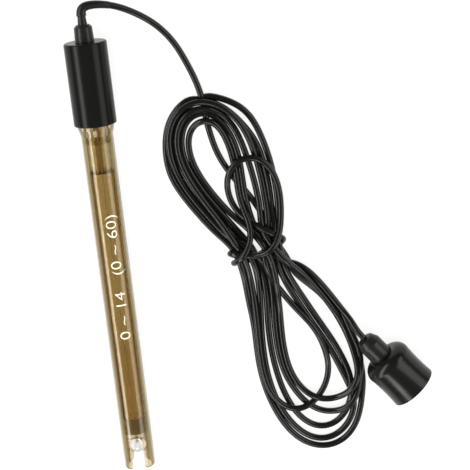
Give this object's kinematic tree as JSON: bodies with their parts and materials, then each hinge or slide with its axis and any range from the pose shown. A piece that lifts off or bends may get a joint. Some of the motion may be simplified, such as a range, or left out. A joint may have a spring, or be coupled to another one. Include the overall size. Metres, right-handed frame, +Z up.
{
  "type": "ph electrode",
  "caption": "Combination pH electrode: amber tube with a slotted guard over a glass bulb, black head cap, and a coiled cable to a bayonet plug.",
  "frame": {"origin": "on the resting surface, under the middle of the electrode's length", "axes": "+Y along the electrode from its guard to its head cap, +Z up from the surface, +X towards the coiled cable and plug"},
  "size_m": [0.1262, 0.1889, 0.0194],
  "materials": {
    "amber": "clear amber moulding",
    "black_plastic": "semi-gloss moulding",
    "hood_plastic": "glossy moulding",
    "black_rubber": "satin",
    "seal_rubber": "matt",
    "stopper_rubber": "matt translucent",
    "glass": "clear blown glass",
    "buffer": "clear liquid",
    "gel": "clear gel",
    "silver": "drawn wire, dull grey where chloridised",
    "ceramic": "porous",
    "collar_plastic": "matt",
    "resin": "cast resin",
    "heat_shrink": "satin",
    "nickel": "nickel plate on brass",
    "gold": "gold plate",
    "insulator_white": "matt",
    "gasket_rubber": "matt",
    "spring_bronze": "bright",
    "cable_pvc": "satin jacket"
  },
  "bodies": {
    "electrode": {"body_tube": "amber", "head_cap": "black_plastic", "cable_gland": "black_rubber", "glass_stem": "glass", "inner_buffer": "buffer", "inner_wire": "silver", "stem_stopper": "stopper_rubber", "reference_wire": "silver", "reference_gel": "gel", "seal_plug": "seal_rubber", "junction_plug": "ceramic", "stem_collar": "collar_plastic", "potting": "resin", "cable_cap_end": "cable_pvc", "core_sleeve": "heat_shrink", "screen_sleeve": "nickel", "plug_body": "nickel", "plug_insulator": "insulator_white", "plug_pin": "gold", "plug_gasket": "gasket_rubber", "retaining_ring": "nickel", "crimp_ferrule": "nickel", "plug_boot": "black_rubber", "cable_plug_end": "cable_pvc", "cable_lead": "cable_pvc", "cable_hank": "cable_pvc", "cable_tail": "cable_pvc"},
    "spring_washer": {"spring_washer": "spring_bronze"},
    "grip": {"coupling_sleeve": "nickel", "plug_hood": "hood_plastic"}
  },
  "joints": [
    {"name": "grip_pull", "type": "slide", "parent": "electrode", "child": "spring_washer", "axis": [0.6211, -0.7837, 0], "range_m": [0, 0.0004], "stiffness_N_per_m": 8000},
    {"name": "grip_turn", "type": "hinge", "parent": "spring_washer", "child": "grip", "pos_m": [0.10563, -0.06163, 0.0097], "axis": [0.6211, -0.7837, 0], "continuous": true}
  ]
}
